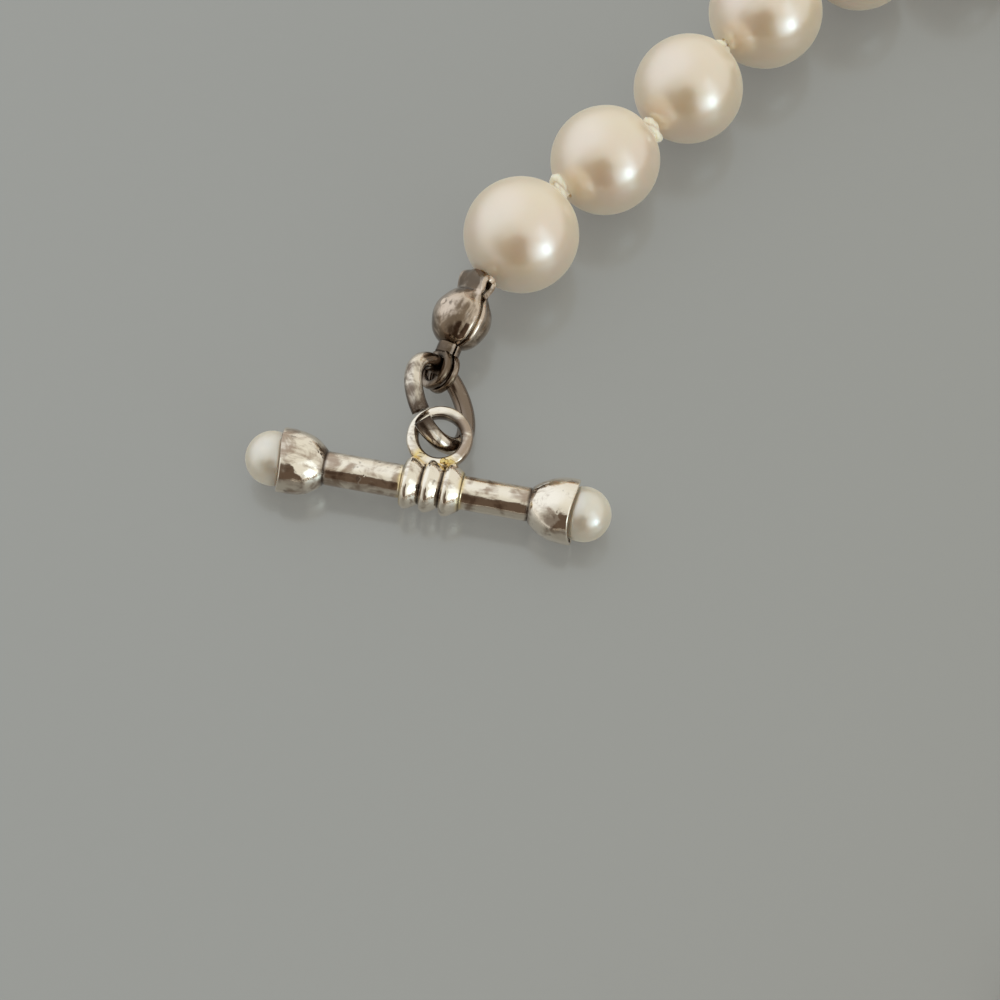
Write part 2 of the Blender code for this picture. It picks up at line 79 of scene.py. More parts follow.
# Each dark stretch: its direction, the degrees from there of full and of no darkness, and its share
DARK_STRETCHES = (
    ((-0.45, -0.55, 0.70), 8, 42, 0.20),
    ((-0.70, -0.62, 0.36), 12, 26, 0.40),
    ((-0.40, -0.80, 0.42), 18, 28, 0.72),
    ((-0.11, -0.95, 0.16), 20, 26, 1.0),
    ((-0.10, -0.74, 0.66), 16, 22, 1.0),
)


def unit(vector):
    """The same direction with a length of one."""
    vector = np.asarray(vector, float)
    return vector / np.linalg.norm(vector, axis=-1, keepdims=True)


def add_node(tree, kind, sockets=(), **settings):
    """A node whose sockets are given numbers, colours, or the outputs that feed them."""
    made = tree.nodes.new("ShaderNode" + kind)
    for name, value in settings.items():
        setattr(made, name, value)
    for name, value in dict(sockets).items():
        if isinstance(value, bpy.types.NodeSocket):
            tree.links.new(value, made.inputs[name])
        else:
            made.inputs[name].default_value = value
    return made


def blend_colours(tree, share, first, second):
    """The first colour, going over to the second as the share goes from 0 to 1."""
    return add_node(tree, "Mix", {0: share, 6: first, 7: second}, data_type="RGBA").outputs[2]


def rise_between(tree, value, start, end, low=0.0, high=1.0):
    """A soft step from low to high as the value goes from start to end."""
    step = add_node(tree, "MapRange", {0: value, 1: start, 2: end, 3: low, 4: high},
                    interpolation_type="SMOOTHSTEP")
    return step.outputs[0]


def arithmetic(tree, operation, first, second):
    """Two values joined by one operation."""
    return add_node(tree, "Math", {0: first, 1: second}, operation=operation).outputs[0]


def patch_of_room(tree, looking, toward, full, none):
    """1 within the full angle of a direction, falling softly to 0 at the other angle, both in degrees."""
    direction = tuple(unit(toward))
    close = add_node(tree, "VectorMath", {0: looking, 1: direction}, operation="DOT_PRODUCT").outputs["Value"]
    return rise_between(tree, close, np.cos(np.radians(none)), np.cos(np.radians(full)))


def band_of_room(tree, looking, start, end, half_wide, soft):
    """1 along the arc between two directions, as wide as given on each side, falling to 0 over a soft edge.
    The widths are in degrees."""
    start, end = unit(start), unit(end)
    half_long = np.degrees(np.arccos(start @ end)) / 2
    mask = patch_of_room(tree, looking, start + end, half_long + half_wide, half_long + half_wide + 2 * soft)
    for axis, half in ((np.cross(start, end), half_wide), (end - start, half_long)):
        axis = tuple(unit(axis))
        aside = add_node(tree, "VectorMath", {0: looking, 1: axis}, operation="DOT_PRODUCT").outputs["Value"]
        aside = arithmetic(tree, "ABSOLUTE", aside, 0.0)
        inside = rise_between(tree, aside, np.sin(np.radians(half)), np.sin(np.radians(half + soft)),
                              1.0, 0.0)
        mask = arithmetic(tree, "MULTIPLY", mask, inside)
    return mask


room = bpy.data.worlds.new("room")
bpy.context.scene.world = room
room.use_nodes = True
tree = room.node_tree
tree.nodes.clear()
looking = add_node(tree, "TexCoord").outputs["Generated"]
height = add_node(tree, "SeparateXYZ", {0: looking}).outputs[2]
light = blend_colours(tree, rise_between(tree, height, 0.0, 0.55), ROOM_EDGE, CEILING)
light = blend_colours(tree, patch_of_room(tree, looking, GLOW_WAY, 12, 62), light, BACK_GLOW)
for toward, full, none, share in DARK_STRETCHES:
    mask = arithmetic(tree, "MULTIPLY", patch_of_room(tree, looking, toward, full, none), share)
    light = blend_colours(tree, mask, light, DARK_ROOM)
light = blend_colours(tree, patch_of_room(tree, looking, HAZE_WAY, 12, 24), light, WINDOW_HAZE)
sky = band_of_room(tree, looking, *SKY_ENDS, 5, 9)
light = blend_colours(tree, sky, light, WINDOW_SKY)
pane = band_of_room(tree, looking, *PANE_ENDS, 5.6, 3.4)
light = blend_colours(tree, pane, light, WINDOW)
shine = add_node(tree, "Background", {"Color": light, "Strength": 1.0})
tree.links.new(shine.outputs[0], add_node(tree, "OutputWorld").inputs["Surface"])

# Floor: a smooth grey table top, faintly glossy, wide enough to fill every view. Part of its brightness is
# light of its own, which keeps the shadows on it pale.
FLOOR_HALF = 0.6
FLOOR_GREYS = ((0.128, 0.131, 0.120, 1.0), (0.140, 0.141, 0.129, 1.0))
FLOOR_GLOWS = ((0.152, 0.151, 0.141, 1.0), (0.164, 0.161, 0.150, 1.0))
floor_mesh = bpy.data.meshes.new("floor")
floor_corners = np.array(((-1, -1, 0), (1, -1, 0), (1, 1, 0), (-1, 1, 0))) * FLOOR_HALF
floor_mesh.from_pydata(floor_corners.tolist(), [], [(0, 1, 2, 3)])
floor = bpy.data.objects.new("floor", floor_mesh)
bpy.context.scene.collection.objects.link(floor)
table_top = bpy.data.materials.new("table_top")
table_top.use_nodes = True
tree = table_top.node_tree
shader = tree.nodes["Principled BSDF"]
spot = add_node(tree, "TexCoord").outputs["Object"]
cloudy = add_node(tree, "TexNoise", {"Vector": spot, "Scale": 9.0, "Detail": 3.0}).outputs["Fac"]
grey = blend_colours(tree, cloudy, *FLOOR_GREYS)
tree.links.new(grey, shader.inputs["Base Color"])
speckle = add_node(tree, "TexNoise", {"Vector": spot, "Scale": 900.0, "Detail": 2.0}).outputs["Fac"]
tree.links.new(rise_between(tree, speckle, 0.3, 0.7, 0.40, 0.50), shader.inputs["Roughness"])
glow = blend_colours(tree, cloudy, *FLOOR_GLOWS)
tree.links.new(glow, shader.inputs["Emission Color"])
shader.inputs["Emission Strength"].default_value = 1.0
shader.inputs["Specular IOR Level"].default_value = 0.3
shader.inputs["Coat Weight"].default_value = 1.0
shader.inputs["Coat IOR"].default_value = 1.65
shader.inputs["Coat Roughness"].default_value = 0.17
floor_mesh.materials.append(table_top)

# Strand pearls: twenty cultured pearls of about 7 mm, nearly round, each a little different. They are
# drilled through, and the drill leaves a shallow dimple round each end of the hole. Nacre is cream with
# a rose and a green cast, and mirrors the room softly.
PEARL_COUNT = 20
PEARL_HOLE = 0.66
PEARL_ROWS = 76
PEARL_SIDES = 104
UNEVEN = 0.0075
DIMPLE_WIDE = 0.2
DIMPLE_DEEP = 0.012
BAR_TIP = np.array((-18.814, 18.938, 2.748)) * MM
RING_TIP = np.array((-10.849, -37.436, 2.434)) * MM


def surface(points, ends="open", around=True, **marks):
    """Faces over a grid of points. Each row closes on itself where around is true. The first and last rows
    are joined, capped by a fan round their middle, or left open. Marks are values kept at the points."""
    count, sides = points.shape[:2]
    ids = np.arange(count * sides).reshape(count, sides)
    if around:
        ids = np.hstack((ids, ids[:, :1]))
    if ends == "joined":
        ids = np.vstack((ids, ids[:1]))
    quads = np.stack((ids[:-1, :-1], ids[:-1, 1:], ids[1:, 1:], ids[1:, :-1]), axis=-1).reshape(-1, 4)
    faces = quads.tolist()
    spots = points.reshape(-1, 3)
    kept = {name: np.broadcast_to(value, (count, sides)).reshape(-1) for name, value in marks.items()}
    if ends == "capped":
        middles = np.array((points[0].mean(axis=0), points[-1].mean(axis=0)))
        first = np.full(ids.shape[1] - 1, len(spots))
        faces += np.stack((first, ids[0, 1:], ids[0, :-1]), axis=-1).tolist()
        faces += np.stack((first + 1, ids[-1, :-1], ids[-1, 1:]), axis=-1).tolist()
        spots = np.vstack((spots, middles))
        kept = {name: np.append(value, (value[0], value[-1])) for name, value in kept.items()}
    return spots, faces, kept


def finish_piece(name, surfaces, material, slot, *nodes):
    """One mesh of all its surfaces, in place, riding on the bracelet and standing for its CAD nodes."""
    mesh = bpy.data.meshes.new(name)
    offsets = np.cumsum([0] + [len(spots) for spots, _, _ in surfaces])
    faces = [[corner + int(offset) for corner in face]
             for (_, own, _), offset in zip(surfaces, offsets) for face in own]
    mesh.from_pydata(np.vstack([spots for spots, _, _ in surfaces]).tolist(), [], faces)
    for mark in surfaces[0][2]:
        kept = mesh.attributes.new(mark, "FLOAT", "POINT")
        kept.data.foreach_set("value", np.concatenate([marks[mark] for _, _, marks in surfaces]))
    mesh.shade_smooth()
    mesh.materials.append(material)
    piece = bpy.data.objects.new(name, mesh)
    bpy.context.scene.collection.objects.link(piece)
    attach(piece, "root")
    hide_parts(*nodes)
    return piece


def frame_about(along, hint):
    """Two directions across the given one, so that first, second and along are right-handed."""
    along = unit(along)
    first = unit(hint - np.sum(hint * along, axis=-1, keepdims=True) * along)
    return first, np.cross(along, first)


def soft_waves(directions, seed, longest=1.0, shortest=2.6):
    """Average of six cosine waves that cross a unit ball in chosen directions: between -1 and 1."""
    chance = np.random.default_rng(seed)
    heading = unit(chance.normal(size=(6, 3)))
    reach = chance.uniform(longest, shortest, 6) * np.pi
    phase = chance.uniform(0, 2 * np.pi, 6)
    return np.cos(directions @ heading.T * reach + phase).mean(axis=-1)


def drilled_pearl(centre, radius, hole_way, seed):
    """Ball whose distance from its centre is the radius, times one plus soft waves, less a dimple that falls
    off as a bell curve from each end of the hole. The outline runs over the outside from one end of the hole
    to the other and back through the hole."""
    half_hole = PEARL_HOLE / 2 * MM
    edge = np.arcsin(half_hole / radius)
    share = 0.5 - 0.5 * np.cos(np.linspace(0.0, np.pi, PEARL_ROWS))
    polar = (edge + (np.pi - 2 * edge) * share)[:, None, None]
    turn = np.linspace(0.0, 2 * np.pi, PEARL_SIDES, endpoint=False)[None, :, None]
    side, up = frame_about(hole_way, np.array((0.0, 0.0, 1.0)))
    rim = np.cos(turn) * side + np.sin(turn) * up
    outward = -np.cos(polar) * hole_way + np.sin(polar) * rim
    dimple = np.exp(-(polar / DIMPLE_WIDE) ** 2) + np.exp(-((np.pi - polar) / DIMPLE_WIDE) ** 2)
    stretch = 1 + UNEVEN * soft_waves(outward, seed)[..., None] - DIMPLE_DEEP * dimple
    outside = outward * stretch * radius
    depth = (np.cos(edge) * radius * np.array((0.96, 0.5, -0.5, -0.96)))[:, None, None]
    bore = depth * hole_way + half_hole * 0.96 * rim
    points = centre + np.concatenate((outside, bore))
    points[..., 2] -= points[..., 2].min()
    return surface(points, "joined")


def nacre_group():
    """Cream with soft patches of a second and third cast, a roughness that varies, and a fine grain."""
    group = bpy.data.node_groups.new("nacre_layers", "ShaderNodeTree")
    for name, kind in (("Cream", "Color"), ("Rose", "Color"), ("Green", "Color"), ("Patch", "Float")):
        group.interface.new_socket(name, in_out="INPUT", socket_type="NodeSocket" + kind)
    for name, kind in (("Color", "Color"), ("Roughness", "Float"), ("Height", "Float")):
        group.interface.new_socket(name, in_out="OUTPUT", socket_type="NodeSocket" + kind)
    given = group.nodes.new("NodeGroupInput").outputs
    spot = add_node(group, "TexCoord").outputs["Object"]
    wide = add_node(group, "TexNoise", {"Vector": spot, "Scale": given["Patch"], "Detail": 1.0,
                                        "Distortion": 0.2}).outputs["Fac"]
    second = arithmetic(group, "MULTIPLY", given["Patch"], 1.9)
    narrow = add_node(group, "TexNoise", {"Vector": spot, "Scale": second, "Detail": 1.0,
                                          "Distortion": 0.3}).outputs["Fac"]
    colour = blend_colours(group, rise_between(group, wide, 0.42, 0.66), given["Cream"], given["Rose"])
    colour = blend_colours(group, rise_between(group, narrow, 0.40, 0.75, 0.0, 0.7), colour, given["Green"])
    grain = add_node(group, "TexNoise", {"Vector": spot, "Scale": 2600.0, "Detail": 1.0}).outputs["Fac"]
    growth = add_node(group, "TexNoise", {"Vector": spot, "Scale": 620.0, "Detail": 1.0}).outputs["Fac"]
    height = arithmetic(group, "ADD", arithmetic(group, "MULTIPLY", grain, 0.06), growth)
    out = group.nodes.new("NodeGroupOutput")
    group.links.new(colour, out.inputs["Color"])
    group.links.new(rise_between(group, narrow, 0.35, 0.7, 0.285, 0.32), out.inputs["Roughness"])
    group.links.new(height, out.inputs["Height"])
    return group


nacre_layers = nacre_group()


def nacre(name, cream, rose, green, patch):
    """Pearl material: a warm body under layers that softly mirror about half of the room's light."""
    material = bpy.data.materials.new(name)
    material.use_nodes = True
    tree = material.node_tree
    shader = tree.nodes["Principled BSDF"]
    layers = add_node(tree, "Group", node_tree=nacre_layers)
    for socket, value in (("Cream", cream), ("Rose", rose), ("Green", green), ("Patch", patch)):
        layers.inputs[socket].default_value = value
    bump = add_node(tree, "Bump", {"Height": layers.outputs["Height"], "Strength": 0.12, "Distance": 0.00004})
    tree.links.new(layers.outputs["Color"], shader.inputs["Base Color"])
    tree.links.new(layers.outputs["Roughness"], shader.inputs["Roughness"])
    tree.links.new(bump.outputs[0], shader.inputs["Normal"])
    for socket, value in (("IOR", 2.8), ("Specular IOR Level", 1.0), ("Coat Weight", 0.7),
                          ("Coat Roughness", 0.07), ("Coat IOR", 1.5), ("Subsurface Weight", 1.0),
                          ("Subsurface Scale", 0.006), ("Subsurface Radius", (1.0, 0.72, 0.48)),
                          ("Sheen Weight", 0.9), ("Sheen Roughness", 0.68),
                          ("Sheen Tint", (1.0, 0.92, 0.76, 1.0))):
        shader.inputs[socket].default_value = value
    return material


cream_nacre = nacre("cream_nacre", (0.70, 0.49, 0.27, 1.0), (0.71, 0.47, 0.29, 1.0),
                    (0.68, 0.50, 0.25, 1.0), 210.0)

pearl_names = [f"pearl_{number + 1:02d}" for number in range(PEARL_COUNT)]
pearl_boxes = np.array([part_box(name) for name in pearl_names])
pearl_centres = pearl_boxes.mean(axis=1)
pearl_radii = (pearl_boxes[:, 1, 2] - pearl_boxes[:, 0, 2]) / 2
chain = np.vstack((BAR_TIP, pearl_centres, RING_TIP))
between = unit(np.diff(chain, axis=0))
hole_ways = unit((between[:-1] + between[1:]) * np.array((1.0, 1.0, 0.0)))
for number, name in enumerate(pearl_names):
    pearl = drilled_pearl(pearl_centres[number], pearl_radii[number], hole_ways[number], number)
    finish_piece(name.replace("pearl", "strand_pearl"), [pearl], cream_nacre, "pearl", name)

# Silk thread: three twisted plies of cream silk, run through every pearl, with an overhand knot drawn up
# tight between each two pearls and a bigger knot inside each bead tip. The knots between pearls sit beside
# the thread, on one side and the other in turn. It has no glue.
THREAD = 0.18
KNOT_THREAD = 0.30
KNOT_WIDE = 0.48
KNOT_ROUND = 0.18
KNOT_LONG = 0.115
KNOT_ASIDE = 0.56
END_KNOT = 1.25
PLIES = 3
THREAD_PLY = 0.24
KNOT_PLY = 0.11
TWIST = 0.9


def draw_wire(path, lean, half_wide, half_high, sides, power=2.0, ends="capped", ply=0.0, pitch=1.0, **marks):
    """Section carried along a path. At each point of the path the section is an oval (or a squarer form, with
    a power above two) set across the way the path goes; lean is the direction of its first half-width. Ply is
    the depth of the twisted strands as a share of the width, and pitch is how far one twist runs."""
    if ends == "joined":
        way = unit(np.roll(path, -1, axis=0) - np.roll(path, 1, axis=0))
    else:
        way = unit(np.gradient(path, axis=0))
    first, second = frame_about(way, lean)
    turn = np.linspace(0.0, 2 * np.pi, sides, endpoint=False)
    wide = np.sign(np.cos(turn)) * np.abs(np.cos(turn)) ** (2 / power)
    high = np.sign(np.sin(turn)) * np.abs(np.sin(turn)) ** (2 / power)
    step = np.linalg.norm(np.diff(path, axis=0), axis=1)
    gone = np.concatenate(((0.0,), np.cumsum(step)))
    whole = gone[-1] + (np.linalg.norm(path[0] - path[-1]) if ends == "joined" else 0.0)
    twists = max(round(whole / pitch), 1) / whole
    strand = np.abs(np.cos(PLIES / 2 * (turn[None, :] - 2 * np.pi * (gone * twists)[:, None])))
    grow = (1 - ply * (1 - strand))[..., None] if ply else 1.0
    half_wide = np.broadcast_to(half_wide, (len(path), sides))[..., None]
    half_high = np.broadcast_to(half_high, (len(path), sides))[..., None]
    spread = (wide[None, :, None] * half_wide * first[:, None, :]
              + high[None, :, None] * half_high * second[:, None, :])
    if ply:
        marks["groove"] = 1 - strand
    return surface(path[:, None, :] + spread * grow, ends, **marks)


def overhand_knot(centre, way, size, phase):
    """Tube along a trefoil: it goes twice round the thread while it rises and falls three times."""
    turn = np.linspace(0.0, 2 * np.pi, 132, endpoint=False)[:, None]
    first, second = frame_about(way, np.array((0.0, 0.0, 1.0)))
    outward = np.cos(2 * turn + phase) * first + np.sin(2 * turn + phase) * second
    path = outward * (KNOT_WIDE + KNOT_ROUND * np.cos(3 * turn)) + way * KNOT_LONG * np.sin(3 * turn)
    lean = outward * np.cos(3 * turn) + way * np.sin(3 * turn)
    thick = KNOT_THREAD * MM * size
    return draw_wire(centre + path * MM * size, lean, thick, thick, 15, ends="joined", ply=KNOT_PLY,
                     pitch=TWIST * MM)


def spun_silk_material():
    """Silk: cream, with painted shade between the plies, fine fibres, a sheen, and a little light of its own
    in place of the light that real silk lets through."""
    material = bpy.data.materials.new("spun_silk")
    material.use_nodes = True
    tree = material.node_tree
    shader = tree.nodes["Principled BSDF"]
    spot = add_node(tree, "TexCoord").outputs["Object"]
    groove = add_node(tree, "Attribute", attribute_name="groove").outputs["Fac"]
    cloudy = add_node(tree, "TexNoise", {"Vector": spot, "Scale": 1500.0, "Detail": 3.0}).outputs["Fac"]
    colour = blend_colours(tree, cloudy, (1.0, 0.84, 0.60, 1.0), (1.0, 0.88, 0.67, 1.0))
    # Painted shade: darker between the plies.
    colour = blend_colours(tree, rise_between(tree, groove, 0.4, 1.0, 0.0, 0.5), colour,
                           (0.84, 0.70, 0.47, 1.0))
    fibre = add_node(tree, "TexNoise", {"Vector": spot, "Scale": 16000.0, "Detail": 3.0,
                                        "Distortion": 1.0}).outputs["Fac"]
    bump = add_node(tree, "Bump", {"Height": fibre, "Strength": 0.5, "Distance": 0.00003})
    tree.links.new(colour, shader.inputs["Base Color"])
    tree.links.new(rise_between(tree, fibre, 0.3, 0.7, 0.28, 0.46), shader.inputs["Roughness"])
    tree.links.new(bump.outputs[0], shader.inputs["Normal"])
    for socket, value in (("Sheen Weight", 0.8), ("Sheen Roughness", 0.4), ("Subsurface Weight", 0.9),
                          ("Subsurface Scale", 0.0008), ("Subsurface Radius", (1.0, 0.88, 0.66)),
                          ("Emission Color", (1.0, 0.86, 0.62, 1.0)), ("Emission Strength", 0.10),
                          ("Coat Weight", 0.6), ("Coat Roughness", 0.16)):
        shader.inputs[socket].default_value = value
    return material


half_bores = (pearl_radii * np.cos(np.arcsin(PEARL_HOLE / 2 * MM / pearl_radii)))[:, None]
pearl_starts = pearl_centres - hole_ways * half_bores
pearl_ends = pearl_centres + hole_ways * half_bores
tip_ways = unit(np.array((pearl_starts[0] - BAR_TIP, RING_TIP - pearl_ends[-1])))
through_pearls = np.stack((pearl_starts, pearl_centres, pearl_ends), axis=1).reshape(-1, 3)
route = np.vstack((BAR_TIP, through_pearls, RING_TIP))
reach = np.concatenate(((0.0,), np.cumsum(np.linalg.norm(np.diff(route, axis=0), axis=1))))
steps = np.linspace(0.0, reach[-1], 900)
thread_path = np.stack([np.interp(steps, reach, route[:, axis]) for axis in range(3)], axis=1)
upward = np.tile((0.0, 0.0, 1.0), (len(thread_path), 1))
silk = [draw_wire(thread_path, upward, THREAD * MM, THREAD * MM, 12, ply=THREAD_PLY,
                  pitch=TWIST * MM)]
knot_places = (pearl_ends[:-1] + pearl_starts[1:]) / 2
knot_ways = unit(pearl_starts[1:] - pearl_ends[:-1])
knot_turns = np.random.default_rng(4).uniform(0, 2 * np.pi, len(knot_places) + 2)
in_turn = np.where(np.arange(len(knot_ways)) % 2, 1, -1)[:, None]
knot_sides = unit(np.cross(knot_ways, (0.0, 0.0, 1.0))) * in_turn
knot_places = knot_places + knot_sides * KNOT_ASIDE * MM
silk += [overhand_knot(place, way, 1.0, turn) for place, way, turn in zip(knot_places, knot_ways, knot_turns)]
silk += [overhand_knot(BAR_TIP, tip_ways[0], END_KNOT, knot_turns[-2]),
         overhand_knot(RING_TIP, tip_ways[1], END_KNOT, knot_turns[-1])]
spun_silk = spun_silk_material()
finish_piece("knotted_silk", silk, spun_silk, "silk", "silk_thread")

# Bead tips: each is stamped from one sheet of silver, as two cups with a strip between them and a flat loop
# on each. The strip has a hole for the thread and is folded over, so that the cups close on the end knot.
# The seam between the cups opens to a slot at the fold. The silver is brown with tarnish.
CUP = 1.8
CUP_WALL = 0.30
SEAM_HALF = 0.08
FOLD_HALF = 1.4
FOLD_DEEP = 0.5
FOLD_END = 2.9
FOLD_SKEW = 0.42
NECK_HALF = 0.46
NECK_DEEP = 0.50
TAIL = -2.42
THREAD_HOLE = 0.42
LOOP_AT = -3.53
LOOP_MIDDLE = 1.08
LOOP_HALF_WIDE = 0.25
LOOP_HALF_THICK = 0.23
BAR_TIP_WAY = (0.375, 0.90, 0.215)
BAR_TIP_SEAM = (0.586, -0.349, 0.732)
RING_TIP_WAY = (0.918, 0.3605, 0.1653)
PIT = (-0.587, 0.243, 0.773)
PIT_DEEP = 0.075
PIT_RIM = 0.035
LIP_HIGH = 0.05
LIP_HOLLOW = 0.04
LUMP_HIGH = 0.05
FAR_OFF = 9.0


def wider_of(first, second, soft):
    """The greater of two widths, rounded where they cross."""
    return 0.5 * (first + second + np.sqrt((first - second) ** 2 + soft ** 2))


def soft_step(value, start, end):
    """0 before start, 1 after end, and smooth between."""
    share = np.clip((value - start) / (end - start), 0.0, 1.0)
    return share * share * (3 - 2 * share)


def stamped_sheet(seed, pit_way):
    """Sheet that runs up one cup, over the fold and down the other. Across it, a row of a cup is half an
    oval from seam to seam, as wide and deep as the ball is at that height; a row of the strip is flat. The
    wider of ball and neck, or ball and strip, is taken at each height. At the fold the rows turn about the
    strip's middle and part round the thread's hole, and one side of the fold ends further out. A pit, soft
    waves and a lip beside the seam on the cups, and lumps on the fold, are added along the ball's radius.
    The second value is 1 where the silver is made bright, partly as rubbed silver and partly as a painted
    highlight: beside the seam and round the pit."""
    lower = np.sin(np.linspace(-np.pi / 2, 0.0, 64)) * CUP
    heights = np.concatenate((np.linspace(TAIL, -CUP - 0.01, 14), lower, np.linspace(0.03, 2.3, 62)))
    ball = np.sqrt(np.clip(CUP ** 2 - heights ** 2, 0.0, None))
    above = heights > 0
    flare = 0.10 + 0.75 * soft_step(-heights, 0.3, 1.7)
    wide = np.where(above, wider_of(ball, FOLD_HALF, 0.12), wider_of(ball, NECK_HALF, flare))
    deep = np.where(above, wider_of(ball, FOLD_DEEP, 0.12), wider_of(ball, NECK_DEEP, flare))
    flat = soft_step(heights, 0.9, 1.9)
    gape = SEAM_HALF + (FOLD_DEEP - SEAM_HALF) * soft_step(heights, 0.9, 2.3)
    bend = np.linspace(0.0, np.pi, 41)[1:-1]
    depth = np.concatenate((deep, FOLD_DEEP * np.cos(bend), -deep[::-1]))
    rise = np.concatenate((heights, FOLD_END - FOLD_DEEP + FOLD_DEEP * np.sin(bend), heights[::-1]))
    edge = np.concatenate((gape, FOLD_DEEP * np.cos(bend), -gape[::-1]))
    half = np.concatenate((wide, FOLD_HALF - 0.12 * np.sin(bend) ** 2, wide[::-1]))
    level = np.concatenate((flat, np.ones(len(bend)), flat[::-1]))
    from_top = np.concatenate((np.full(len(heights), FAR_OFF), FOLD_DEEP * (bend - np.pi / 2),
                               np.full(len(heights), FAR_OFF)))
    hole = np.sqrt(np.clip(THREAD_HOLE ** 2 - from_top ** 2, 0.0, None))
    across = np.linspace(0.0, 1.0, 33)
    across = np.concatenate((-across[::-1], across))
    sign = np.concatenate((-np.ones(33), np.ones(33)))
    level = level[:, None]
    bow = np.cos(np.pi / 2 * across)[None, :]
    run = (1 - level) * np.abs(np.sin(np.pi / 2 * across)) + level * np.abs(across)
    x = edge[:, None] + (depth - edge)[:, None] * bow
    y = sign * (hole[:, None] + (half - hole)[:, None] * run)
    z = rise[:, None] + FOLD_SKEW * soft_step(-y, -FOLD_HALF, FOLD_HALF) * soft_step(rise, 0.9, 2.3)[:, None]
    points = np.stack((x, y, z), axis=-1)
    from_hole = np.hypot(from_top[:, None], y)
    hole_lip = 0.16 * level * np.exp(-((from_hole - THREAD_HOLE) / 0.28) ** 2)
    points[..., 2] += hole_lip * (from_top < FAR_OFF)[:, None]
    outward = unit(points)
    away = np.arccos(np.clip(outward @ pit_way, -1.0, 1.0)) * CUP
    crater = -PIT_DEEP * np.exp(-(away / 0.13) ** 2) + PIT_RIM * np.exp(-((away - 0.27) / 0.09) ** 2)
    on_cup = 1 - soft_step(np.abs(z), 1.2, 1.7)
    waves = 0.018 * soft_waves(outward, seed, 1.5, 4.0)
    # Bright beside the seam and round the pit: partly rubbed silver, partly a painted highlight.
    rubbed_and_highlight = np.maximum(soft_step(np.abs(across), 0.74, 0.94)[None, :], np.exp(-(away / 0.7) ** 2))
    beside = np.abs(across)[None, :]
    lip = (LIP_HIGH * np.exp(-((beside - 0.93) / 0.06) ** 2)
           - LIP_HOLLOW * np.exp(-((beside - 0.79) / 0.06) ** 2))
    lumps = soft_waves(points / 1.1, seed + 4, 1.0, 3.0) - 0.3
    on_fold = LUMP_HIGH * soft_step(rise, 1.5, 2.0)[:, None] * lumps
    return points + outward * ((crater + waves + lip) * on_cup + on_fold)[..., None], rubbed_and_highlight


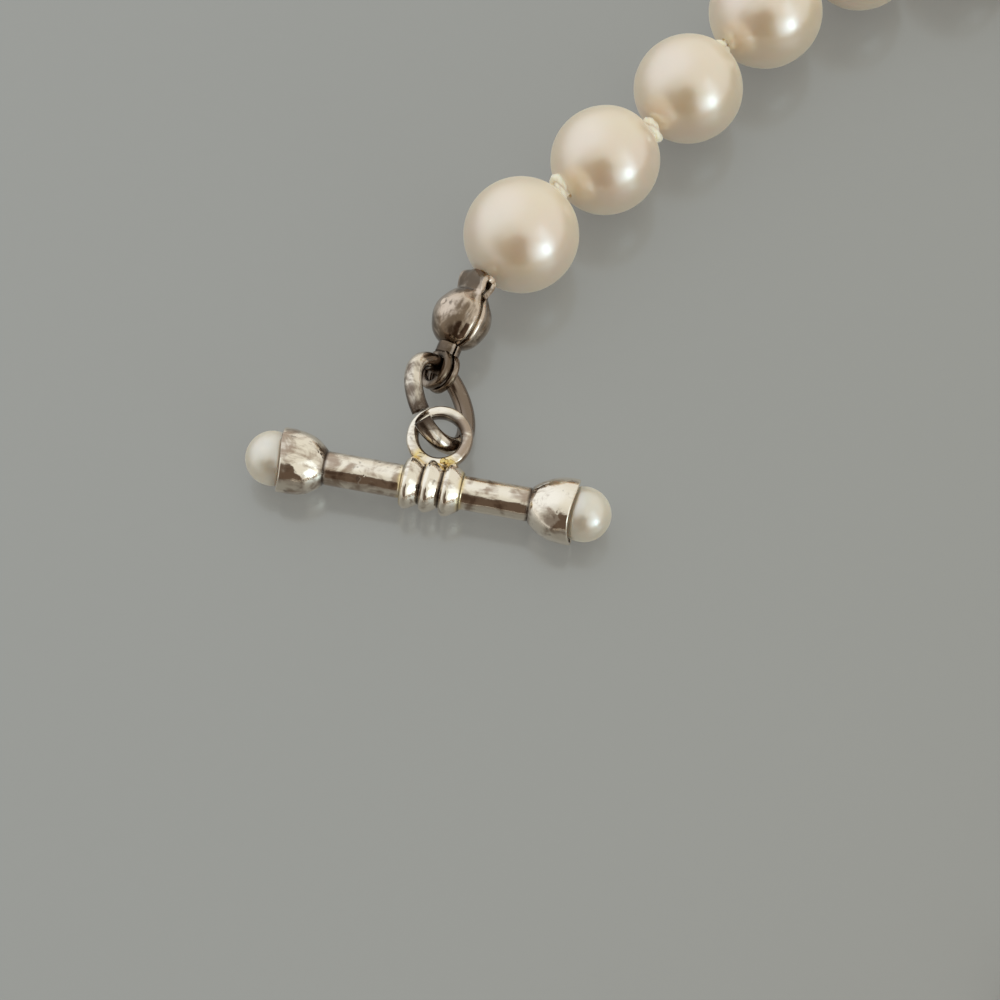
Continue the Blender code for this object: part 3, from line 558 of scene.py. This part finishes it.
def silver_group():
    """Old silver: bright metal under a film in soft patches, dark where grime sits and where shade is
    painted, gold where solder shows. On some pieces the film mark also carries painted shade and painted
    highlight. The roughness follows the film, and the height holds shallow dents, pits and fine scratches."""
    group = bpy.data.node_groups.new("old_silver", "ShaderNodeTree")
    for name, kind in (("Bright", "Color"), ("Dull", "Color"), ("Soot_and_Shade", "Color"), ("Gold", "Color"),
                       ("Patch", "Float"), ("Cover", "Float"), ("Film_and_Painted_Light", "Float"), ("Grime_and_Shade", "Float"),
                       ("Solder", "Float"), ("Polish", "Float"), ("Drawn", "Vector")):
        group.interface.new_socket(name, in_out="INPUT", socket_type="NodeSocket" + kind)
    for name, kind in (("Color", "Color"), ("Roughness", "Float"), ("Height", "Float")):
        group.interface.new_socket(name, in_out="OUTPUT", socket_type="NodeSocket" + kind)
    given = group.nodes.new("NodeGroupInput").outputs
    spot = add_node(group, "TexCoord").outputs["Object"]
    clouds = add_node(group, "TexNoise", {"Vector": spot, "Scale": given["Patch"], "Detail": 4.0,
                                          "Distortion": 0.8}).outputs["Fac"]
    scratch_spot = add_node(group, "Mapping", {"Vector": spot, "Rotation": given["Drawn"],
                                               "Scale": (1.0, 0.08, 0.08)}, vector_type="TEXTURE").outputs[0]
    scratch = add_node(group, "TexNoise", {"Vector": scratch_spot, "Scale": 420.0,
                                           "Detail": 3.0}).outputs["Fac"]
    streak = arithmetic(group, "MULTIPLY", arithmetic(group, "SUBTRACT", scratch, 0.5), 0.24)
    # The film mark is tarnish. On some pieces it is also painted shade, or it is lowered for a painted
    # highlight.
    lifted = arithmetic(group, "ADD", clouds, arithmetic(group, "SUBTRACT", given["Cover"], 0.5))
    lifted = arithmetic(group, "ADD", lifted, arithmetic(group, "ADD", given["Film_and_Painted_Light"], streak))
    film = rise_between(group, lifted, 0.39, 0.63)
    fine = add_node(group, "TexNoise", {"Vector": spot, "Scale": 4200.0, "Detail": 4.0}).outputs["Fac"]
    pits = add_node(group, "TexNoise", {"Vector": spot, "Scale": 1500.0, "Detail": 2.0}).outputs["Fac"]
    speck = rise_between(group, pits, 0.66, 0.74)
    # The dark grime colour is real tarnish in hollows, and painted shade where a piece marks it so.
    dirt_and_shade = arithmetic(group, "MULTIPLY", given["Grime_and_Shade"], rise_between(group, clouds, 0.2, 0.6, 0.65, 1.0))
    dirt_and_shade = arithmetic(group, "MAXIMUM", dirt_and_shade, arithmetic(group, "MULTIPLY", speck, 0.45))
    colour = blend_colours(group, film, given["Bright"], given["Dull"])
    gilt = arithmetic(group, "MULTIPLY", given["Solder"], rise_between(group, pits, 0.28, 0.55, 0.35, 1.0))
    colour = blend_colours(group, gilt, colour, given["Gold"])
    colour = blend_colours(group, dirt_and_shade, colour, given["Soot_and_Shade"])
    rough = arithmetic(group, "ADD", given["Polish"], arithmetic(group, "MULTIPLY", film, 0.07))
    rough = arithmetic(group, "ADD", rough, arithmetic(group, "MULTIPLY", dirt_and_shade, 0.18))
    rough = arithmetic(group, "ADD", rough, rise_between(group, scratch, 0.45, 0.75, 0.0, 0.05))
    dents = add_node(group, "TexVoronoi", {"Vector": spot, "Scale": 1150.0, "Smoothness": 0.9},
                     feature="SMOOTH_F1").outputs["Distance"]
    height = arithmetic(group, "ADD", arithmetic(group, "MULTIPLY", dents, 0.55),
                        arithmetic(group, "MULTIPLY", fine, 0.10))
    height = arithmetic(group, "SUBTRACT", height, arithmetic(group, "MULTIPLY", speck, 0.15))
    height = arithmetic(group, "ADD", height, arithmetic(group, "MULTIPLY", scratch, 0.05))
    out = group.nodes.new("NodeGroupOutput")
    group.links.new(colour, out.inputs["Color"])
    group.links.new(rough, out.inputs["Roughness"])
    group.links.new(height, out.inputs["Height"])
    return group


old_silver = silver_group()


def silver(name, bright, dull, soot_and_shade, patch, cover, polish, dent, drawn):
    """Silver with its own colours, share of film, polish, depth of dents, and turn of its drawn streaks."""
    material = bpy.data.materials.new(name)
    material.use_nodes = True
    tree = material.node_tree
    shader = tree.nodes["Principled BSDF"]
    wear = add_node(tree, "Group", node_tree=old_silver)
    for socket, value in (("Bright", bright), ("Dull", dull), ("Soot_and_Shade", soot_and_shade), ("Patch", patch),
                          ("Gold", (0.82, 0.61, 0.23, 1.0)), ("Cover", cover), ("Polish", polish),
                          ("Drawn", (0.0, 0.0, np.radians(drawn)))):
        wear.inputs[socket].default_value = value
    for socket, mark in (("Film_and_Painted_Light", "film"), ("Grime_and_Shade", "grime"), ("Solder", "solder")):
        tree.links.new(add_node(tree, "Attribute", attribute_name=mark).outputs["Fac"], wear.inputs[socket])
    bump = add_node(tree, "Bump", {"Height": wear.outputs["Height"], "Strength": 1.0, "Distance": dent * MM})
    tree.links.new(wear.outputs["Color"], shader.inputs["Base Color"])
    tree.links.new(wear.outputs["Roughness"], shader.inputs["Roughness"])
    tree.links.new(bump.outputs[0], shader.inputs["Normal"])
    shader.inputs["Metallic"].default_value = 1.0
    shader.inputs["Coat Weight"].default_value = 0.25
    shader.inputs["Coat Roughness"].default_value = 0.05
    return material


brown_silver = silver("brown_silver", (0.62, 0.50, 0.40, 1.0), (0.18, 0.125, 0.082, 1.0),
                      (0.025, 0.015, 0.010, 1.0), 700.0, 0.50, 0.08, 0.035, 67.0)


def make_bead_tip(name, centre, way, seam_up, seed):
    """Sheet with its wall, and a flat loop below each cup. The sheet's own x is across the seam."""
    way = unit(way)
    across, upright = frame_about(way, np.cross(seam_up, way))
    turned = np.array((across, upright, way))
    points, rubbed_and_highlight = stamped_sheet(seed, turned @ unit(PIT))
    # The sheet has more film towards the bottom and at the fold, and is darker at the neck below the ball.
    # Beside the seam and round the pit it is brighter, partly rubbed silver and partly painted highlight.
    sheet = surface(centre + points @ turned * MM, around=False,
                    film=0.10 * soft_step(-points[..., 2], -1.0, 1.0) - 0.18 * rubbed_and_highlight
                    + 0.12 * soft_step(points[..., 2], 1.7, 2.2),
                    grime=0.5 * soft_step(-points[..., 2], 1.6, 2.2), solder=0.0)
    turn = np.linspace(0.0, 2 * np.pi, 72, endpoint=False)[:, None]
    outward = np.cos(turn) * upright + np.sin(turn) * way
    # Painted shade: each loop is darker on its inside face, over a little grime all round.
    inner = 0.15 + 0.6 * soft_step(-np.cos(np.linspace(0.0, 2 * np.pi, 20, endpoint=False)), 0.0, 0.8)
    loops = []
    for side in (1, -1):
        middle = centre + (way * LOOP_AT + across * side * (SEAM_HALF + LOOP_HALF_THICK)) * MM
        loops.append(draw_wire(middle + outward * LOOP_MIDDLE * MM, outward, LOOP_HALF_WIDE * MM,
                               LOOP_HALF_THICK * MM, 20, power=3.0, ends="joined", film=0.08, grime=inner,
                               solder=0.0))
    cups = finish_piece(name + "_cups", [sheet], brown_silver, "tarnished_silver", name)
    welded = bmesh.new()
    welded.from_mesh(cups.data)
    bmesh.ops.remove_doubles(welded, verts=welded.verts, dist=0.000001)
    welded.to_mesh(cups.data)
    welded.free()
    wall = cups.modifiers.new("wall", "SOLIDIFY")
    wall.thickness = CUP_WALL * MM
    wall.offset = -1
    rolled = cups.modifiers.new("rolled_edge", "BEVEL")
    rolled.width = 0.05 * MM
    rolled.segments = 2
    rolled.limit_method = "ANGLE"
    rolled.angle_limit = np.radians(50)
    finish_piece(name + "_loops", loops, brown_silver, "tarnished_silver", name)


make_bead_tip("bead_tip_bar", BAR_TIP, BAR_TIP_WAY, BAR_TIP_SEAM, 11)
make_bead_tip("bead_tip_ring", RING_TIP, RING_TIP_WAY, (0.0, 0.0, 1.0), 12)

# Jump rings: ovals of round silver wire, cut once and closed by hand, so that the two flat ends miss each
# other a little. One joins the bar's eye to its bead tip, the other the toggle ring's.
JUMP_WIRE = 0.55
JUMP_LONG = 2.75
JUMP_SHORT = 2.04
JUMP_CUT = 0.52
JUMP_PITCH = 0.20

grey_silver = silver("grey_silver", (0.84, 0.74, 0.62, 1.0), (0.21, 0.155, 0.115, 1.0),
                     (0.05, 0.03, 0.02, 1.0), 900.0, 0.44, 0.09, 0.03, 113.0)


def make_jump_ring(name, centre, long_way, short_way, cut):
    """Round wire along an oval: short half-axis times the cosine and long half-axis times the sine of the
    turn, from one side of the cut to the other, with a small even rise."""
    long_way = unit(long_way)
    short_way, _ = frame_about(long_way, np.asarray(short_way))
    rising = np.cross(short_way, long_way)
    cut = np.radians(cut)
    half_gap = JUMP_CUT / 2 / np.hypot(JUMP_SHORT * np.sin(cut), JUMP_LONG * np.cos(cut))
    share = np.linspace(0.0, 1.0, 180)[:, None]
    turn = cut + half_gap + share * (2 * np.pi - 2 * half_gap)
    path = (JUMP_SHORT * np.cos(turn) * short_way + JUMP_LONG * np.sin(turn) * long_way
            + JUMP_PITCH * (share - 0.5) * rising)
    lean = np.cos(turn) * short_way / JUMP_SHORT + np.sin(turn) * long_way / JUMP_LONG
    first, last = unit(path[0] - path[1]) * 0.02, unit(path[-1] - path[-2]) * 0.02
    path = np.vstack((path[0] + first, path, path[-1] + last))
    lean = np.vstack((lean[0], lean, lean[-1]))
    thick = np.full((len(path), 1), JUMP_WIRE)
    thick[[0, -1]] = JUMP_WIRE - 0.05
    near_cut = np.exp(-np.minimum(share, 1 - share) * 22)
    near_cut = np.vstack((near_cut[:1], near_cut, near_cut[-1:]))
    # Painted shade: the far limb gets more film, so it is darker, as where it passes in shade under the bar's
    # eye.
    far_limb = soft_step(unit(lean) @ short_way, -0.2, 0.7)[:, None]
    wire = draw_wire(np.asarray(centre) * MM + path * MM, lean, thick * MM, thick * MM, 28,
                     film=0.30 * far_limb + 0.20 * near_cut, grime=0.95 * near_cut, solder=0.0)
    finish_piece(name + "_wire", [wire], grey_silver, "silver", name)


make_jump_ring("jump_ring_bar", (-20.111, 13.416, 2.330), (-0.369, 0.880, 0.299),
               (0.608, 0.472, -0.638), 190.0)
make_jump_ring("jump_ring_ring", (-16.538, -39.670, 1.85), (-0.9308, -0.3655, 0.0),
               (0.3655, -0.9308, 0.0), 0.0)

# Toggle bar: a silver rod with a spun cup soldered on each end, three rings wrapped round its middle and an
# eye on them. The cups and the eye are lightly hammered, and gold solder shows at the joints.
BAR_CENTRE = np.array((-20.794, 8.093, 2.025))
BAR_ALONG = np.array((0.9811, -0.1937, 0.0))
EYE_OUT = np.array((0.1928, 0.9762, 0.0993))
EYE_CENTRE = np.array((-20.083, 11.077, 2.331))
ROD = 1.025
CUP_RIM = 2.025
CUP_LIP = 0.10
CUP_START = 6.25
CUP_END = 8.85
CUP_FLOOR = 7.68
BAND_MIDDLE = 0.27
BAND_RING = 1.2
BAND_CREST = 1.6
BAND_GROOVE = 1.14
BAND_HALF = 1.5 * BAND_RING
CREST_SHIFT = 0.35
BELL_FOOT = 0.09
EYE_MIDDLE = 1.63
EYE_HALF_WIDE = 0.38
EYE_HALF_THICK = 0.43
EYE_SQUARENESS = 2.7
SOLDER_SPOTS = ((-0.80, 1.66, 0.42, 0.32), (0.72, 1.52, 0.50, 0.27), (1.12, 1.55, 0.42, 0.28))

pink_silver = silver("pink_silver", (0.90, 0.81, 0.69, 1.0), (0.42, 0.32, 0.245, 1.0),
                     (0.07, 0.042, 0.026, 1.0), 900.0, 0.46, 0.075, 0.075, -11.2)


def bar_outline():
    """Rows of distance along the bar, radius and grime, from the floor of one cup to the floor of the other.
    A cup's outside follows one minus the cube of the way from its rim; a ring of the band rises steeply to
    a crest left of its middle and falls off slowly on the right; a fine groove marks where each cup sits on
    the rod."""
    share = np.linspace(0.0, 1.0, 16)[:, None]
    hollow = np.hstack((CUP_FLOOR + (CUP_END - CUP_FLOOR) * (1 - np.cos(share * np.pi / 2)),
                        0.05 + (CUP_RIM - 2 * CUP_LIP - 0.05) * np.sin(share * np.pi / 2), 0.9 + 0 * share))
    lip_turn = np.linspace(0.0, np.pi, 9)[1:-1, None]
    lip = np.hstack((CUP_END + CUP_LIP * np.sin(lip_turn), CUP_RIM - CUP_LIP - CUP_LIP * np.cos(lip_turn),
                     0 * lip_turn))
    left = np.linspace(0.0, 1.0, 60)[:, None] ** 1.3
    bell = np.hstack((CUP_END - (CUP_END - CUP_START) * left,
                      ROD + BELL_FOOT + (CUP_RIM - ROD - BELL_FOOT) * (1 - left ** 3.0),
                      0.5 * soft_step(left, 0.93, 1.0)))
    shoulder = np.array(((CUP_START - 0.03, ROD + 0.06, 0.8), (CUP_START - 0.05, ROD - 0.02, 1.0),
                         (CUP_START - 0.10, ROD - 0.03, 1.0), (CUP_START - 0.16, ROD, 0.6)))
    band_high = BAND_MIDDLE + BAND_HALF
    band_low = BAND_MIDDLE - BAND_HALF
    rod_high = np.linspace(CUP_START - 0.25, band_high + 0.06, 60)[:, None]
    rod_low = np.linspace(band_low - 0.06, -(CUP_START - 0.25), 60)[:, None]
    place = np.linspace(-1.0, 1.0, 41)
    from_crest = place + CREST_SHIFT
    bulge = np.where(from_crest < 0, np.sqrt(np.clip(1 - (from_crest / (1 - CREST_SHIFT)) ** 2, 0.0, 1.0)),
                     1 - (np.abs(from_crest) / (1 + CREST_SHIFT)) ** 1.45)
    ring = np.stack((place * BAND_RING / 2, BAND_GROOVE + (BAND_CREST - BAND_GROOVE) * bulge,
                     0.95 * soft_step(np.abs(place), 0.80, 0.99)), axis=1)
    rings = [ring[::-1] + np.array((BAND_MIDDLE + step * BAND_RING, 0.0, 0.0)) for step in (1, 0, -1)]
    band = np.vstack((rings[0], rings[1][1:], rings[2][1:]))
    right_half = np.vstack((hollow, lip, bell, shoulder,
                            np.hstack((rod_high, ROD + 0 * rod_high, 0 * rod_high))))
    mirror = np.vstack((hollow, lip, bell, shoulder)) * np.array((-1.0, 1.0, 1.0))
    rows = np.vstack((right_half, band, np.hstack((rod_low, ROD + 0 * rod_low, 0 * rod_low)), mirror[::-1]))
    return rows[::-1]


def solder_on(points):
    """How much solder shows at points in the bar's own lengths: near the blobs, and at the band's ends."""
    spots = np.array(SOLDER_SPOTS)
    near = np.exp(-(np.linalg.norm(points[..., None, :] - spots[:, :3], axis=-1) / (spots[:, 3] * 1.4)) ** 4)
    ends = np.abs(np.abs(points[..., 0] - BAND_MIDDLE) - BAND_HALF)
    ends = ends + soft_step(np.hypot(points[..., 1], points[..., 2]), 1.5, 1.9)
    return np.clip(near.max(axis=-1) + 0.8 * np.exp(-(ends / 0.16) ** 2), 0.0, 1.0)


def toggle_bar_surfaces():
    """Turned body with hammered cups, the eye as a squarish ring, and the solder as low lumps."""
    bar_up = np.cross(BAR_ALONG, EYE_OUT * np.array((1.0, 1.0, 0.0)))
    axes = np.array((BAR_ALONG, unit(np.cross(bar_up, BAR_ALONG)), unit(bar_up)))
    rows = bar_outline()
    turn = np.linspace(0.0, 2 * np.pi, 112, endpoint=False)
    along = np.broadcast_to(rows[:, :1], (len(rows), len(turn)))
    radius = np.broadcast_to(rows[:, 1:2], along.shape)
    rim = np.stack((np.zeros_like(turn), np.cos(turn), np.sin(turn)), axis=-1)
    place = np.stack((along / 3.0, rim[:, 1] * radius / 3.0, rim[:, 2] * radius / 3.0), axis=-1)
    hammered = soft_step(np.abs(along), CUP_START, CUP_START + 0.6) * (rows[:, 2:3] < 0.85)
    banded = 1 - soft_step(np.abs(along - BAND_MIDDLE), 1.7, 1.9)
    radius = radius * (1 + 0.030 * hammered * (soft_waves(place, 21, 2.0, 5.5) - 0.6)
                       + 0.020 * banded * soft_waves(place, 22, 1.0, 3.0)
                       + 0.006 * (soft_waves(place, 23) - 0.6))
    at_rim = np.sign(along) * soft_step(np.abs(along), CUP_START + 1.2, CUP_END)
    slip = 0.05 * banded * np.sin(turn + 0.7) - 0.15 * at_rim * (1 + np.cos(2 * turn + 1.74))
    local = np.stack((along + slip, rim[:, 1] * radius, rim[:, 2] * radius), axis=-1)
    grime = np.broadcast_to(rows[:, 2:3], along.shape)
    from_middle = np.abs(local[..., 0] - BAND_MIDDLE)
    beside_band = np.exp(-((from_middle - 2.2) / 0.5) ** 2)
    beside_cups = np.exp(-((from_middle - 5.9) / 0.5) ** 2)
    film = 0.12 * (beside_band + beside_cups) - 0.05
    film = film + 0.06 * soft_step(-local[..., 0], 1.7, 2.0) - 0.05 * banded
    surfaces = [surface((BAR_CENTRE + local @ axes) * MM, "capped", film=film, grime=grime,
                        solder=solder_on(local))]
    ring_turn = np.linspace(0.0, 2 * np.pi, 120, endpoint=False)[:, None]
    outward = np.cos(ring_turn) * BAR_ALONG + np.sin(ring_turn) * EYE_OUT
    path = EYE_CENTRE + outward * EYE_MIDDLE
    own = (path - BAR_CENTRE) @ axes.T
    uneven = 1 + 0.07 * soft_waves(own / 3.0, 24, 2.0, 5.0)[:, None]
    section = np.linspace(0.0, 2 * np.pi, 32, endpoint=False)
    # Painted shade: the inner wall of the eye is marked dark, with more of it towards the far right.
    far_right = soft_step(outward @ unit(BAR_ALONG + EYE_OUT), 0.4, 0.95)[:, None]
    inner_wall = soft_step(-np.cos(section)[None, :] + 0.45 * far_right, 0.35, 0.85)
    spot = own[:, None, :] + 0 * section[None, :, None]
    surfaces.append(draw_wire(path * MM, outward, EYE_HALF_WIDE * MM * uneven,
                              EYE_HALF_THICK * MM * uneven, 32, power=EYE_SQUARENESS, ends="joined",
                              film=0.30 * soft_step(own[:, :1], 0.8, 1.6) - 0.08,
                              grime=0.85 * inner_wall, solder=solder_on(spot)))
    polar = np.linspace(0.04, np.pi - 0.04, 18)[:, None, None]
    lump_turn = np.linspace(0.0, 2 * np.pi, 26, endpoint=False)[None, :, None]
    ball = np.concatenate((np.sin(polar) * np.cos(lump_turn), np.sin(polar) * np.sin(lump_turn),
                           -np.cos(polar) + 0 * lump_turn), axis=-1)
    for number, (x, y, z, size) in enumerate(SOLDER_SPOTS):
        lump = ball * (1 + 0.25 * soft_waves(ball, 30 + number, 1.0, 3.0)[..., None]) * size * (1.1, 0.8, 0.8)
        centre = BAR_CENTRE + np.array((x, y, z)) @ axes
        surfaces.append(surface((centre + lump @ axes) * MM, "capped", film=0.0, grime=0.15, solder=1.0))
    return surfaces


finish_piece("toggle_bar_silver", toggle_bar_surfaces(), pink_silver, "silver", "toggle_bar")

# End pearls: a small pearl cemented into each cup, greyer than the strand's.
END_PEARL = 1.65
END_PEARL_UNEVEN = 0.008
grey_nacre = nacre("grey_nacre", (0.58, 0.46, 0.33, 1.0), (0.60, 0.46, 0.34, 1.0),
                   (0.54, 0.46, 0.32, 1.0), 380.0)


def seated_pearl(centre, along, seed):
    """Ball whose distance from its centre is its radius times one plus soft waves, closed at both poles."""
    polar = np.linspace(0.02, np.pi - 0.02, 64)[:, None, None]
    turn = np.linspace(0.0, 2 * np.pi, 88, endpoint=False)[None, :, None]
    side, up = frame_about(along, np.array((0.0, 0.0, 1.0)))
    outward = -np.cos(polar) * along + np.sin(polar) * (np.cos(turn) * side + np.sin(turn) * up)
    stretch = 1 + END_PEARL_UNEVEN * soft_waves(outward, seed)[..., None]
    return surface(centre + outward * stretch * END_PEARL * MM, "capped")


for number, name in enumerate(("end_pearl_left", "end_pearl_right")):
    pearl = seated_pearl(end_pearl_boxes[number].mean(axis=0), BAR_ALONG, 40 + number)
    finish_piece(name.replace("end_pearl", "cup_pearl"), [pearl], grey_nacre, "pearl", name)

# Toggle ring: a plain ring of round silver wire that the bar passes through, with an upright eye soldered
# to its rim for the other jump ring.
RING_CENTRE = np.array((-26.925, -43.749, 0.9))
RING_EYE = np.array((-18.725, -40.529, 2.01))
RING_MIDDLE = 6.6
RING_WIRE = 0.9
TO_STRAND = np.array((0.9308, 0.3655, 0.0))


def toggle_ring_surfaces():
    """Round wire along a circle, a little uneven, and the upright eye as a squarish ring."""
    turn = np.linspace(0.0, 2 * np.pi, 200, endpoint=False)[:, None]
    side = np.cross((0.0, 0.0, 1.0), TO_STRAND)
    outward = np.cos(turn) * TO_STRAND + np.sin(turn) * side
    uneven = 1 - 0.02 * (1 - soft_waves(outward, 50, 2.0, 6.0)[:, None])
    joint = np.exp(-((np.minimum(turn, 2 * np.pi - turn) * RING_MIDDLE) / 0.75) ** 4)
    ring = draw_wire((RING_CENTRE + outward * RING_MIDDLE) * MM, outward, RING_WIRE * MM * uneven,
                     RING_WIRE * MM * uneven, 36, ends="joined", film=0.0, grime=0.35 * joint, solder=joint)
    eye_turn = np.linspace(0.0, 2 * np.pi, 110, endpoint=False)[:, None]
    eye_out = np.cos(eye_turn) * -TO_STRAND + np.sin(eye_turn) * np.array((0.0, 0.0, 1.0))
    foot = np.exp(-((np.minimum(eye_turn, 2 * np.pi - eye_turn) * EYE_MIDDLE) / 0.9) ** 4)
    eye = draw_wire((RING_EYE + eye_out * EYE_MIDDLE) * MM, eye_out, EYE_HALF_WIDE * MM, EYE_HALF_THICK * MM,
                    32, power=EYE_SQUARENESS, ends="joined", film=0.0, grime=0.25 * foot, solder=foot)
    return [ring, eye]


finish_piece("toggle_ring_silver", toggle_ring_surfaces(), pink_silver, "silver", "toggle_ring")
